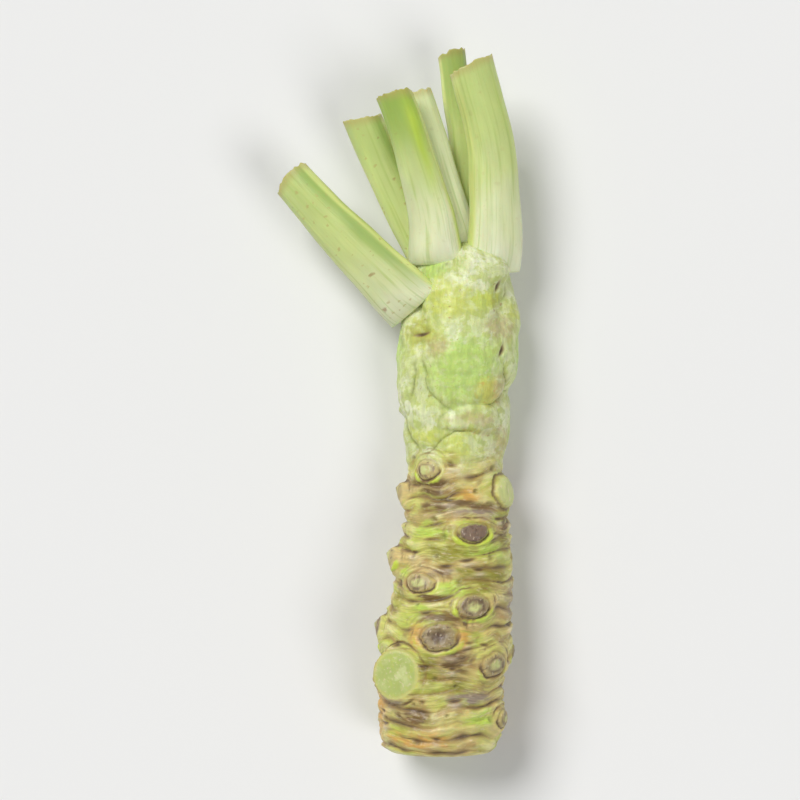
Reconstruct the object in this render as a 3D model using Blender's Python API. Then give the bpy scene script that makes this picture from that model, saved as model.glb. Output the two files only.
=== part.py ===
"""A trimmed wasabi root lying on its side: one knobbly rhizome and the cut leaf stalks round its crown.

Every dimension below is in millimetres. The root lies along +Y with its cut foot at the low end and the
leaf stalks at the high end, +Z is up, and the surface that it lies on is Z = 0. "Turn" is an angle round the
rhizome in degrees, 0 at the top, positive towards +X; "along" is the distance from the cut foot.
"""

import math
from typing import NamedTuple

import bmesh
import bpy
import numpy as np
from mathutils import Vector

MM = 0.001

# Driving dimensions of the rhizome
LENGTH = 110.0
CUT_RADIUS_SHARE = 0.93  # size of the flat cut foot, as a share of the section just above it
CUT_BEVEL = 1.3  # how far the rounded rim of the cut foot runs along the root
DOME_START = 100.0  # where the crown begins to close
DOME_POWER = 2.5  # 2 closes the crown as a ball, and more closes it blunter
TIP_RADIUS_SHARE = 0.15  # the blunt end of the crown
FLATNESS = 0.91  # height of a section over its width
BED_RISE = 0.1  # how far the plain underside stays off the surface, so that only its lumps touch and lie flat

# Half width and sideways shift of the sections: (along, half width, shift)
SECTIONS = (
    (0.0, 11.9, -3.0),
    (4.0, 12.9, -3.1),
    (12.0, 13.2, -3.0),
    (25.0, 13.6, -1.7),
    (36.0, 12.5, -0.2),
    (50.0, 11.1, 0.5),
    (63.0, 9.8, 0.3),
    (73.0, 10.2, 0.5),
    (85.0, 10.8, 0.8),
    (97.0, 10.7, 1.2),
    (110.0, 10.6, 1.3),
)

# Smooth shield-shaped leaf bases of the crown:
# (turn, along, half width, reach up the root, reach down the root, bulge)
LEAF_BASES = (
    (34, 105.5, 7.0, 6.0, 6.5, 2.5),
    (4, 96, 9.5, 8.0, 12.0, 1.5),
    (10, 83, 10.5, 15.0, 10.5, 2.5),
    (-46, 75, 9.5, 13.0, 10.5, 1.2),
    (16, 71.8, 7.5, 3.0, 3.2, 2.0),
    (16, 64, 8.0, 6.0, 5.5, 1.1),
    (80, 88, 9.0, 13.0, 11.0, 2.3),
    (84, 70, 8.5, 8.0, 9.0, 1.5),
    (-96, 82, 9.0, 12.0, 11.0, 2.6),
    (-96, 67, 8.0, 8.0, 8.0, 1.4),
    (-90, 89, 9.0, 10.0, 12.0, 1.9),
    (128, 97, 8.5, 8.0, 7.0, 1.3),
    (135, 80, 9.0, 9.0, 9.0, 1.5),
    (122, 63, 8.0, 7.0, 7.0, 1.2),
    (-140, 99, 8.5, 8.0, 7.0, 1.3),
    (-148, 79, 9.0, 10.0, 9.5, 1.6),
    (180, 91, 8.0, 9.0, 8.0, 1.4),
    (176, 66, 8.0, 8.0, 7.0, 1.3),
)
LEAF_BASE_POWER = 3  # more makes a leaf base flatter on top and steeper at its edge

# Buds and eyes seated in the ringed part: (turn, along, half width, half length, height)
EYES = (
    (-36, 60.7, 3.2, 2.8, 1.0),
    (62, 55.8, 3.2, 3.4, 1.9),
    (-84, 55.5, 2.6, 2.6, 1.7),
    (16, 47.5, 3.9, 2.6, 1.2),
    (-84, 41.5, 2.8, 2.8, 1.9),
    (-35, 37.0, 4.2, 2.6, 1.1),
    (19, 32.2, 3.9, 3.2, 1.4),
    (-90, 26.5, 3.0, 3.2, 1.2),
    (-8, 26.0, 4.6, 3.9, 1.6),
    (46, 19.8, 4.4, 3.3, 1.4),
    (68, 7.6, 3.0, 2.6, 1.3),
)
GOLDEN_ANGLE = 137.508
HIDDEN_EYE_STEP = 2.5  # spacing along the root of the eyes on the side that lies down
HIDDEN_EYE_START = 6.0
HIDDEN_EYE_END = 62.0
HIDDEN_EYE_SIZE = (3.6, 2.7, 1.2)
SEEN_TURN = 100  # the listed eyes cover the root up to this turn on either side
EYE_SPREAD = 1.9  # the swelling round an eye, in eye sizes

# The stub of a side shoot, cut off flat
STUB_TURN = -46
STUB_FACING = -28  # the turn that its cut faces
STUB_ALONG = 17.6
STUB_RADIUS = 5.3
STUB_FLARE = 0.5  # how much wider it is at its root
STUB_DISTANCE = 12.9  # from the rhizome's axis to the cut
STUB_DEPTH = 8.0  # how deep its root lies under the cut
STUB_SIDES = 36

# Mesh density of the rhizome
SIDES = 60
RINGS = 54


class Stalk(NamedTuple):
    """A cut leaf stalk: middles of its base and tip, bow of its middle, sizes at both, and outer side.

    "Taper" says how it narrows from its base: evenly at 1, mostly near the base when it is more.
    """

    base: tuple
    tip: tuple
    bow: tuple
    width: tuple
    depth: tuple
    back: tuple
    taper: float = 2.5


STALKS = {
    "petiole_front_left": Stalk(
        base=(-8.8, 94.8, 15.0), tip=(-34.9, 122.8, 14.6), bow=(-0.2, -0.1, 1.2),
        width=(15.0, 9.2), depth=(5.6, 6.6), back=(-0.38, -0.38, 0.85), taper=1.2,
    ),
    "petiole_front_middle": Stalk(
        base=(-4.0, 104.5, 15.6), tip=(-13.1, 140.0, 21.4), bow=(1.6, 0, 0.8),
        width=(12.4, 7.6), depth=(6.4, 6.6), back=(-0.3, 0, 1.0), taper=2.0,
    ),
    "petiole_front_right": Stalk(
        base=(8.6, 103.0, 13.2), tip=(3.4, 146.8, 18.4), bow=(2.1, 0, 0.8),
        width=(13.4, 10.0), depth=(7.2, 7.6), back=(0.5, 0, 1.0), taper=2.0,
    ),
    "petiole_inner_left": Stalk(
        base=(-5.2, 103.6, 10.4), tip=(-19.9, 136.2, 12.2), bow=(-0.2, 0, 0),
        width=(7.6, 8.4), depth=(5.4, 5.6), back=(-0.4, 0, 1.0), taper=1.2,
    ),
    "petiole_inner_middle": Stalk(
        base=(2.6, 107.0, 12.4), tip=(-7.9, 141.6, 14.2), bow=(0.6, 0, 0),
        width=(6.8, 5.8), depth=(4.8, 5.2), back=(0, 0, 1.0),
    ),
    "petiole_inner_right": Stalk(
        base=(4.0, 106.0, 7.6), tip=(-0.6, 150.6, 9.4), bow=(0.5, 0, 0),
        width=(6.8, 6.0), depth=(4.8, 5.2), back=(0.3, 0, 1.0),
    ),
    "petiole_under_left": Stalk(
        base=(-4.6, 103.6, 4.9), tip=(-14.4, 124.0, 4.2), bow=(0, 0, 0),
        width=(7.4, 6.4), depth=(4.8, 5.2), back=(-0.5, 0, -1.0),
    ),
    "petiole_under_middle": Stalk(
        base=(1.4, 105.0, 3.8), tip=(-5.0, 131.0, 3.4), bow=(0, 0, 0),
        width=(6.8, 6.2), depth=(4.4, 5.2), back=(0, 0, -1.0),
    ),
    "petiole_under_right": Stalk(
        base=(7.8, 103.0, 6.4), tip=(7.4, 131.0, 6.0), bow=(0.8, 0, 0),
        width=(7.6, 6.4), depth=(4.8, 5.4), back=(1.0, 0, -0.8),
    ),
}
STALK_SIDES = 16
STALK_RINGS = 10
BASE_RIM = 6.0  # the length over which a stalk's base rounds off
BASE_EDGE = 0.25  # thickness left at the very base, as a share
BASE_RIM_RINGS = 4
CLASP = 0.05  # curvature with which a stalk's base wraps round the crown, per millimetre
CLASP_FADE = 2.5  # how soon that curvature is lost up the stalk
GROOVE = 0.55  # depth of the channel along a stalk's inner face, as a share of its depth
TOUCH_GAP = 0.35  # clearance kept between touching pieces

COLOURS = {"rhizome": (0.42, 0.40, 0.14), "petiole": (0.50, 0.62, 0.22)}


def clear_scene():
    for thing in list(bpy.data.objects):
        bpy.data.objects.remove(thing)


def material(name, colour):
    made = bpy.data.materials.new(name)
    made.use_nodes = True
    shader = made.node_tree.nodes["Principled BSDF"]
    shader.inputs["Base Color"].default_value = (*colour, 1)
    shader.inputs["Roughness"].default_value = 0.5
    shader.inputs["Metallic"].default_value = 0
    return made


def smooth_through(knots, at):
    """A smooth curve through (position, value) knots, read at the given positions."""
    place, value = np.array(knots, float).T
    slope = np.gradient(value, place)
    at = np.clip(at, place[0], place[-1])
    i = np.clip(np.searchsorted(place, at, side="right") - 1, 0, len(place) - 2)
    span = place[i + 1] - place[i]
    u = (at - place[i]) / span
    bend = slope[i] * u * (1 - u) ** 2 - slope[i + 1] * u**2 * (1 - u)
    return value[i] + (value[i + 1] - value[i]) * u * u * (3 - 2 * u) + span * bend


def smooth_step(low, high, value):
    u = np.clip((value - low) / (high - low), 0, 1)
    return u * u * (3 - 2 * u)


def offsets(turn, along, centre_turn, centre_along, radius):
    """Millimetres round and along the rhizome from a feature's centre."""
    round_by = (turn - math.radians(centre_turn) + math.pi) % (2 * math.pi) - math.pi
    return round_by * radius, along - centre_along


def crown_relief(turn, along, radius):
    """Overlapping leaf bases: the proudest one shows, so a crease runs where two meet."""
    height = np.full(turn.shape, -0.6)
    for centre_turn, centre_along, half_width, up, down, bulge in LEAF_BASES:
        u, v = offsets(turn, along, centre_turn, centre_along, radius)
        reach = np.hypot(u / half_width, np.where(v > 0, v / up, v / down))
        height = np.maximum(height, bulge * (1 - reach**LEAF_BASE_POWER))
    return height


def eye_places():
    places = list(EYES)
    count = int((HIDDEN_EYE_END - HIDDEN_EYE_START) / HIDDEN_EYE_STEP)
    for k in range(count):
        turn = (k * GOLDEN_ANGLE + 180) % 360 - 180
        if abs(turn) > SEEN_TURN:
            places.append((turn, HIDDEN_EYE_START + k * HIDDEN_EYE_STEP, *HIDDEN_EYE_SIZE))
    return places


def eye_relief(turn, along, radius):
    height = np.zeros(turn.shape)
    for centre_turn, centre_along, half_width, half_length, rise in eye_places():
        u, v = offsets(turn, along, centre_turn, centre_along, radius)
        reach = np.hypot(u / half_width, v / half_length)
        height = np.maximum(height, rise * (1 - smooth_step(0.5, EYE_SPREAD, reach)))
    return height


def section(along):
    """Half width, half height, sideways shift and height of the centre of the section there."""
    half_width = smooth_through([(s, w) for s, w, _ in SECTIONS], along)
    shift = smooth_through([(s, x) for s, _, x in SECTIONS], along)
    centre = half_width * FLATNESS + BED_RISE
    closing = np.clip((along - DOME_START) / (LENGTH - DOME_START), 0, 1)
    shrink = np.maximum((1 - closing**DOME_POWER) ** (1 / DOME_POWER), TIP_RADIUS_SHARE)
    rounding = np.clip(1 - along / CUT_BEVEL, 0, 1) ** 2
    shrink = shrink * (1 - (1 - CUT_RADIUS_SHARE) * rounding)
    return half_width * shrink, half_width * FLATNESS * shrink, shift, centre, shrink


def rhizome_points(turn, along):
    half_width, half_height, shift, centre, shrink = section(along)
    radius = (half_width + half_height) / 2 / shrink
    crown = smooth_step(56, 68, along)
    relief = crown * crown_relief(turn, along, radius)
    relief = np.maximum(relief, eye_relief(turn, along, radius))
    relief = relief * smooth_step(0, CUT_BEVEL, along) * shrink
    x = shift + (half_width + relief) * np.sin(turn)
    z = centre + (half_height + relief) * np.cos(turn)
    return x, along, np.maximum(z, 0)


def ring_places():
    """Distances along the root, closer together at the rounded rim and where the crown closes."""
    rim = np.array([0, 0.3, 0.65]) * CUT_BEVEL
    body = np.linspace(CUT_BEVEL, DOME_START, RINGS - 11)
    angle = np.linspace(0, math.pi / 2, 9)[1:]
    dome = DOME_START + (LENGTH - DOME_START) * np.sin(angle) ** (2 / DOME_POWER)
    return np.concatenate([rim, body, dome])


def mesh_from_rings(name, rings):
    """A closed mesh through rings of points, with a flat face on each end."""
    shape = bmesh.new()
    loops = [[shape.verts.new(Vector(point) * MM) for point in ring] for ring in rings]
    for low, high in zip(loops, loops[1:]):
        for i in range(len(low)):
            j = (i + 1) % len(low)
            shape.faces.new((low[i], low[j], high[j], high[i]))
    shape.faces.new(loops[0][::-1])
    shape.faces.new(loops[-1])
    mesh = bpy.data.meshes.new(name)
    shape.to_mesh(mesh)
    shape.free()
    mesh.shade_smooth()
    mesh.set_sharp_from_angle(angle=math.radians(50))
    return mesh


def place(name, mesh, finish, parent):
    thing = bpy.data.objects.new(name, mesh)
    mesh.materials.append(finish)
    bpy.context.scene.collection.objects.link(thing)
    thing.parent = parent
    return thing


def rhizome_mesh():
    turn = np.linspace(0, 2 * math.pi, SIDES, endpoint=False)
    along = ring_places()
    turns, alongs = np.meshgrid(turn, along)
    x, y, z = rhizome_points(turns, alongs)
    rings = np.stack([x, y, z], axis=-1)
    return mesh_from_rings("rhizome", rings)


def stub_mesh():
    """A short round peg that ends in the stub's flat cut and begins inside the rhizome."""
    _, _, shift, middle_height, _ = section(STUB_ALONG)
    facing = math.radians(STUB_FACING)
    turn = math.radians(STUB_TURN)
    outward = np.array([math.sin(facing), 0, math.cos(facing)])
    reach = STUB_DISTANCE / math.cos(turn - facing)
    axis = np.array([shift, STUB_ALONG, middle_height])
    middle = axis + reach * np.array([math.sin(turn), 0, math.cos(turn)])
    sideways = np.cross([0, 1, 0], outward)
    phase = np.linspace(0, 2 * math.pi, STUB_SIDES, endpoint=False)[:, None]
    circle = np.cos(phase) * sideways + np.sin(phase) * np.array([0, 1, 0])
    inner_end = middle - STUB_DEPTH * outward - (STUB_RADIUS + STUB_FLARE) * circle
    return mesh_from_rings("stub", [inner_end, middle - STUB_RADIUS * circle])


def join_stub(rhizome, finish, parent):
    stub = place("stub", stub_mesh(), finish, parent)
    stub.hide_render = True
    stub.display_type = "WIRE"
    join = rhizome.modifiers.new("stub", "BOOLEAN")
    join.operation = "UNION"
    join.solver = "EXACT"
    join.object = stub


def stalk_rings(form):
    """Sections of a stalk: a rounded back, a channelled inner face, and a base that wraps the crown."""
    base, tip, bow, back = (np.array(v, float) for v in (form.base, form.tip, form.bow, form.back))
    handle = (base + tip) / 2 + 2 * bow
    phase = np.linspace(0, 2 * math.pi, STALK_SIDES, endpoint=False)
    rim_end = BASE_RIM / np.linalg.norm(tip - base)
    rim = rim_end * (1 - np.cos(np.linspace(0, math.pi / 2, BASE_RIM_RINGS, endpoint=False)))
    rings = []
    for share in (*rim, *np.linspace(rim_end, 1, STALK_RINGS)):
        left = 1 - share
        centre = left**2 * base + 2 * share * left * handle + share**2 * tip
        ahead = left * (handle - base) + share * (tip - handle)
        ahead /= np.linalg.norm(ahead)
        out = back - ahead * back.dot(ahead)
        out /= np.linalg.norm(out)
        side = np.cross(out, ahead)
        flare = left**form.taper
        half_width = (form.width[1] + (form.width[0] - form.width[1]) * flare) / 2
        half_depth = (form.depth[1] + (form.depth[0] - form.depth[1]) * flare) / 2
        rounding = math.sqrt(max(1 - (1 - min(share / rim_end, 1)) ** 2, 0))
        half_depth *= BASE_EDGE + (1 - BASE_EDGE) * rounding
        across = half_width * np.cos(phase)
        rise = half_depth * np.sin(phase)
        channel = 1 - GROOVE * np.clip(-np.sin(phase), 0, 1) ** 3
        rise = rise * channel - CLASP * left**CLASP_FADE * across**2 / 2
        rings.append(centre + across[:, None] * side + rise[:, None] * out)
    return np.array(rings)


def grown_copy(thing):
    """A hidden cutter: the piece, larger all round by the gap that its neighbours keep to it."""
    mesh = thing.data.copy()
    away = [vertex.normal * TOUCH_GAP * MM for vertex in mesh.vertices]
    for vertex, move in zip(mesh.vertices, away):
        vertex.co += move
    cutter = bpy.data.objects.new(thing.name + "_cutter", mesh)
    bpy.context.scene.collection.objects.link(cutter)
    cutter.parent = thing.parent
    cutter.hide_render = True
    cutter.display_type = "WIRE"
    return cutter


def cut_clear(thing, cutters):
    """Trims a piece back to the gap wherever it would run into an earlier one."""
    for cutter in cutters:
        cut = thing.modifiers.new("clear_of_" + cutter.name, "BOOLEAN")
        cut.operation = "DIFFERENCE"
        cut.solver = "EXACT"
        cut.object = cutter


def stand_on_origin(root, things):
    """Puts the middle of the whole footprint over the origin and its lowest point at Z = 0."""
    corners = np.array([vertex.co for thing in things for vertex in thing.data.vertices])
    low, high = corners.min(axis=0), corners.max(axis=0)
    root.location = (-(low[0] + high[0]) / 2, -(low[1] + high[1]) / 2, -low[2])


def main():
    clear_scene()
    root = bpy.data.objects.new("wasabi_root", None)
    bpy.context.scene.collection.objects.link(root)
    finishes = {name: material(name, colour) for name, colour in COLOURS.items()}
    things = [place("rhizome", rhizome_mesh(), finishes["rhizome"], root)]
    cutters = [grown_copy(things[0])]
    join_stub(things[0], finishes["rhizome"], root)
    for name, form in STALKS.items():
        mesh = mesh_from_rings(name, stalk_rings(form))
        stalk = place(name, mesh, finishes["petiole"], root)
        cut_clear(stalk, cutters)
        cutters.append(grown_copy(stalk))
        things.append(stalk)
    stand_on_origin(root, things)


main()
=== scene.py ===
"""The looks of a trimmed wasabi root: its rhizome, its cut leaf stalks, their skins and a plain studio.

Lengths in the tables are in millimetres. "Along" runs up the root from the cut foot, x is to the right, and z
is up from the surface that the root lies on. "Turn" is an angle round the rhizome in degrees, 0 at the top
and positive to the right. The forms of part.py are repeated here, and the fine surface is added to them:
leaf-scar ridges, creases, eyes, pits, folds and fibres. Where each of these lies is also stored on the meshes
as marks, values from 0 to 1 that the materials turn into colour and bump. Part of that colour is painted
light:
painted shade in the creases, pits, folds and hollows and along one side of each leaf stalk, and painted
highlights on the ridge crests and along the edges of the leaf stalks.
"""

import math
from typing import NamedTuple

import bpy
import numpy as np
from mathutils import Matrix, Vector


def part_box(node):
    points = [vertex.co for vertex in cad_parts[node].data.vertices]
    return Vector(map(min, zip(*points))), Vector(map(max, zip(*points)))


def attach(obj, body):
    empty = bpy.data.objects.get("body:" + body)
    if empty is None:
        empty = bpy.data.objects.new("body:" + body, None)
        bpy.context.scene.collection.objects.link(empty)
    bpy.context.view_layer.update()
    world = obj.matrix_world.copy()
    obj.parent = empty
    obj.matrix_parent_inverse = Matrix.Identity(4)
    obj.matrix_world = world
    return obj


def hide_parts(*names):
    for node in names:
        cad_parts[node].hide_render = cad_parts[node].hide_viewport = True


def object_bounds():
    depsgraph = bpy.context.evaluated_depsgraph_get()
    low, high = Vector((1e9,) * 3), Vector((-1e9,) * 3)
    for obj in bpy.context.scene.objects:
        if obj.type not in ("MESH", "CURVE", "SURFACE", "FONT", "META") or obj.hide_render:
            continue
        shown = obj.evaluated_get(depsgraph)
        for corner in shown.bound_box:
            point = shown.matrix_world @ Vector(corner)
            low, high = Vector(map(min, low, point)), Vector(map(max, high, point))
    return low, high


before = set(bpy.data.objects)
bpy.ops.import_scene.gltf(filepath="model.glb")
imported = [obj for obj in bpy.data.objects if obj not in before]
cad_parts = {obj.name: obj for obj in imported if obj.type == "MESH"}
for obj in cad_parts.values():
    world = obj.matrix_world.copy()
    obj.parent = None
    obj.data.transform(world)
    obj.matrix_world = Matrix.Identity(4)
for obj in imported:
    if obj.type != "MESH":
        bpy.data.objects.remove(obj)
CAD_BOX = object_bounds()

MM = 0.001

# ------------------------------------------------------------------ the rhizome's form, as in part.py

LENGTH = 110.0
CUT_RADIUS_SHARE = 0.93
CUT_BEVEL = 1.3
DOME_START = 100.0
DOME_POWER = 2.5
TIP_RADIUS_SHARE = 0.15
FLATNESS = 0.91
BED_RISE = 0.1

# (along, half width, sideways shift)
SECTIONS = (
    (0.0, 11.9, -3.0),
    (4.0, 12.9, -3.1),
    (12.0, 13.2, -3.0),
    (25.0, 13.6, -1.7),
    (36.0, 12.5, -0.2),
    (50.0, 11.1, 0.5),
    (63.0, 9.8, 0.3),
    (73.0, 10.2, 0.5),
    (85.0, 10.8, 0.8),
    (97.0, 10.7, 1.2),
    (110.0, 10.6, 1.3),
)

# Leaf bases of the crown: (turn, along, half width, reach up the root, reach down the root, bulge)
LEAF_BASES = (
    (34, 105.5, 7.0, 6.0, 6.5, 2.5),
    (4, 96, 9.5, 8.0, 12.0, 1.5),
    (10, 83, 10.5, 15.0, 10.5, 2.5),
    (-46, 75, 9.5, 13.0, 10.5, 1.2),
    (16, 71.8, 7.5, 3.0, 3.2, 2.0),
    (16, 64, 8.0, 6.0, 5.5, 1.1),
    (80, 88, 9.0, 13.0, 11.0, 2.3),
    (84, 70, 8.5, 8.0, 9.0, 1.5),
    (-96, 82, 9.0, 12.0, 11.0, 2.6),
    (-96, 67, 8.0, 8.0, 8.0, 1.4),
    (-90, 89, 9.0, 10.0, 12.0, 1.9),
    (128, 97, 8.5, 8.0, 7.0, 1.3),
    (135, 80, 9.0, 9.0, 9.0, 1.5),
    (122, 63, 8.0, 7.0, 7.0, 1.2),
    (-140, 99, 8.5, 8.0, 7.0, 1.3),
    (-148, 79, 9.0, 10.0, 9.5, 1.6),
    (180, 91, 8.0, 9.0, 8.0, 1.4),
    (176, 66, 8.0, 8.0, 7.0, 1.3),
)
LEAF_BASE_POWER = 3
LEAF_BASES_START = (56.0, 68.0)  # where their bulges begin and are complete, along the root
CROWN_SKIN_START = (58.0, 66.0)  # the same for the fresh skin
MERGE_SOFTNESS = (0.03, 1.5)  # least and most rounding where two leaf bases meet

# Places where leaf bases melt together, or meet in a crisp fold:
# (turn, along, half width, half length, rounding)
MEETINGS = (
    (4, 95, 9.0, 5.0, 1.5),
    (-26, 92, 5.0, 4.0, 1.5),
    (12, 73.2, 7.0, 1.4, 1.5),
    (-20, 71.5, 3.4, 3.0, 1.3),
    (-32, 78, 6.0, 8.0, 0.25),
)


class Eye(NamedTuple):
    """A bud above a leaf scar: its kind, how brown it is, and how bright the lip under it is."""

    turn: float
    along: float
    half_width: float
    half_length: float
    rise: float
    kind: str
    brown: float
    lip: float


EYES = (
    Eye(-36, 60.7, 3.2, 2.8, 1.0, "ring", 0.0, 1.0),
    Eye(62, 55.8, 3.2, 3.4, 1.9, "knob", 0.0, 0.5),
    Eye(-84, 55.5, 2.6, 2.6, 1.7, "point", 0.3, 0.9),
    Eye(16, 47.5, 3.9, 2.6, 1.2, "bud", 1.0, 1.0),
    Eye(-84, 41.5, 2.8, 2.8, 1.9, "point", 0.2, 1.0),
    Eye(-35, 37.0, 4.2, 2.6, 1.1, "ring", 0.2, 0.6),
    Eye(19, 32.2, 3.9, 3.2, 1.4, "ring", 0.6, 1.0),
    Eye(-90, 26.5, 3.0, 3.2, 1.2, "point", 0.7, 0.5),
    Eye(-8, 26.0, 4.6, 3.9, 1.6, "hollow", 0.5, 0.8),
    Eye(46, 19.8, 4.4, 3.3, 1.4, "ring", 0.3, 0.5),
    Eye(68, 7.6, 3.0, 2.6, 1.3, "ring", 0.3, 0.4),
)
LIP_CORNER = 0.95  # radians from straight below an eye to the corners of its lip
BROWS = ((1.22, 1.0), (1.5, 0.6), (1.78, 0.4))  # reach and strength of the wrinkles that arch over an eye
GOLDEN_ANGLE = 137.508
HIDDEN_EYE_STEP = 2.5
HIDDEN_EYE_START = 6.0
HIDDEN_EYE_END = 62.0
HIDDEN_EYE_SIZE = (3.6, 2.7, 1.2)
HIDDEN_EYE_KINDS = ("ring", "bud", "knob")
HIDDEN_EYE_BROWN = (0.1, 0.9)
HIDDEN_EYE_LIP = (0.4, 1.0)
SEEN_TURN = 100
EYE_SPREAD = 1.9

STUB_TURN = -46
STUB_FACING = -28  # the turn that the flat cut of the stub faces
STUB_ALONG = 17.6
STUB_RADIUS = 5.3
STUB_DISTANCE = 12.9  # from the rhizome's axis to the cut
STUB_FLANK = 1.5

# ------------------------------------------------------------------ the rhizome's fine surface

SIDES = 224
RIM_ROWS = 5
BODY_ROWS = 400
DOME_ROWS = 22
FACE_ROWS = 14
LAYOUT_MARGIN = 0.005  # left free at each side of the unrolled layout
BED_SOFTNESS = 0.3  # how gently the underside is pressed flat

# Distances from the foot of the creases between the leaf-scar ridges
CREASES = (
    -2.0, 1.6, 4.7, 7.6, 10.7, 14.2, 17.2, 20.6, 24.2, 28.0, 31.2, 33.9, 36.8, 39.9, 43.3, 46.4,
    49.6, 53.0, 55.6, 58.3, 61.2, 64.0, 66.8, 70.0, 73.5, 77.0,
)
RIDGE_HEIGHT = 0.4
CREASE_DEPTH = 0.48
CREASE_WIDTH = 0.56
WRINKLE_SPACING = 1.2
WRINKLE_HEIGHT = 0.04
PIT_COUNT = 60
PIT_ALONG = (2, 64)
PIT_SIZE = (0.35, 0.8)
SLIT_COUNT = 70
SLIT_ALONG = (3, 66)
SLIT_WIDTH = (0.9, 2.1)
SLIT_TILT = (-12, 12)  # degrees
SEED = 7

# Slits in the crown: (turn, along, half width, tilt in degrees)
NICKS = (
    (46, 86.0, 1.5, 65),
    (42, 99.8, 1.3, 80),
    (-44, 89.4, 2.2, 8),
    (-100, 74.0, 1.6, 20),
    (170, 84.0, 1.8, -15),
)

# Soft areas of colour: (turn, along, half width, half length). The hidden side repeats them.
PATCHES = {
    "fresh": (
        (6, 82, 8, 8.5), (-34, 103, 4, 3), (30, 97, 4, 2), (88, 86, 5, 7),
    ),
    "yellow": (
        (-46, 89.5, 5, 4.2), (-14, 97, 6, 5), (26, 97, 4, 2.4), (66, 94, 2.5, 2),
        (30, 77, 3, 3), (-5, 65, 3.5, 4.5), (-44, 68, 4.5, 2),
    ),
    "blush": (
        (44, 91, 4, 3), (50, 78, 2.6, 3.6), (18, 71.8, 6, 1.5), (-24, 87, 2.4, 3),
        (64, 66, 3, 4),
    ),
    "ochre": (
        (34, 77.5, 3, 3.4), (34, 69.2, 5, 1.1), (6, 55.5, 4, 2.2), (-27, 25.5, 2.6, 2.8),
        (12, 25, 2.6, 2.8), (-74, 9, 4.5, 5), (-22, 3.5, 9, 2.2),
    ),
    "umber": (
        (-32, 57.2, 5.5, 2.8), (24, 53.4, 4, 1), (-14, 38.9, 3.5, 1.1), (-22, 52.8, 5, 1.5),
        (2, 53.6, 5, 1.2), (-2, 29.6, 6, 1.3), (8, 20.3, 3.8, 3.4), (-24, 34, 3, 1.4),
        (-28, 8.5, 5, 3), (60, 48, 2.5, 4),
    ),
    "olive": (
        (-46, 90, 3.4, 2.6), (40, 96.5, 2, 3), (-8, 43.2, 5.5, 2.2), (32, 38.3, 7, 2.4),
        (20, 35.8, 4, 1.4), (-66, 33, 3, 4), (10, 16, 3, 3), (-14, 19, 2.2, 4),
    ),
    "lime": (
        (-28, 47.4, 5.5, 2.4), (-4, 36, 4, 1.5), (26, 29.2, 4, 1.3), (32, 43.6, 5, 2),
        (-60, 38.5, 3, 2.5), (-30, 30.5, 3.5, 1.6), (40, 8, 5, 2.5),
    ),
    "mauve": (
        (26, 52, 6, 1.6), (70, 33, 3, 4), (-52, 12, 4, 2), (28, 12.5, 6, 1.8),
    ),
}


def smooth_through(knots, at):
    """A smooth curve through (position, value) knots, read at the given positions."""
    place, value = np.array(knots, float).T
    slope = np.gradient(value, place)
    at = np.clip(at, place[0], place[-1])
    i = np.clip(np.searchsorted(place, at, side="right") - 1, 0, len(place) - 2)
    span = place[i + 1] - place[i]
    u = (at - place[i]) / span
    bend = slope[i] * u * (1 - u) ** 2 - slope[i + 1] * u**2 * (1 - u)
    return value[i] + (value[i + 1] - value[i]) * u * u * (3 - 2 * u) + span * bend


def smooth_step(low, high, value):
    u = np.clip((value - low) / (high - low), 0, 1)
    return u * u * (3 - 2 * u)


def bell(distance, width):
    return np.exp(-((distance / width) ** 2))


# Large odd numbers that scramble a lattice corner into a direction
CORNER_FACTORS = (73856093, 19349663, 83492791)
SEED_FACTOR = 40503
STIR_FACTORS = (1274126177, 668265263, 374761393)


def lattice_gradient(cell, seed):
    """A repeatable random direction for each lattice corner."""
    mixed = seed * SEED_FACTOR
    for axis, factor in enumerate(CORNER_FACTORS):
        mixed = mixed ^ (cell[..., axis] * factor)
    parts = []
    for factor in STIR_FACTORS:
        mixed = ((mixed ^ (mixed >> 13)) * factor) & 0xFFFFFFFF
        parts.append((mixed >> 8 & 0xFFFF) / 32767.5 - 1)
    return np.stack(parts, axis=-1)


def noise(points, size, seed, octaves=1):
    """Smooth noise, roughly -1 to 1, with features about this size in the units of the points."""
    total = np.zeros(points.shape[:-1])
    for octave in range(octaves):
        scaled = points * (2**octave / size) + 31.7 * (seed + octave)
        corner = np.floor(scaled).astype(np.int64)
        inside = scaled - corner
        fade = inside**3 * (inside * (inside * 6 - 15) + 10)
        for step in np.ndindex(2, 2, 2):
            weight = np.prod(np.where(step, fade, 1 - fade), axis=-1)
            gradient = lattice_gradient(corner + step, seed + octave)
            total += 0.5**octave * 1.4 * weight * np.sum(gradient * (inside - step), axis=-1)
    return total


def turned_from(turn, degrees):
    """The angle from this many degrees to the turn, the shorter way round, in radians."""
    return (turn - math.radians(degrees) + math.pi) % (2 * math.pi) - math.pi


def section(along):
    """Half width, half height, sideways shift, height of the centre, and how far the section has closed."""
    half_width = smooth_through([(s, w) for s, w, _ in SECTIONS], along)
    shift = smooth_through([(s, x) for s, _, x in SECTIONS], along)
    centre = half_width * FLATNESS + BED_RISE
    closing = np.clip((along - DOME_START) / (LENGTH - DOME_START), 0, 1)
    shrink = np.maximum((1 - closing**DOME_POWER) ** (1 / DOME_POWER), TIP_RADIUS_SHARE)
    rounding = np.clip(1 - along / CUT_BEVEL, 0, 1) ** 2
    shrink = shrink * (1 - (1 - CUT_RADIUS_SHARE) * rounding)
    return half_width * shrink, half_width * FLATNESS * shrink, shift, centre, shrink


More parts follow.
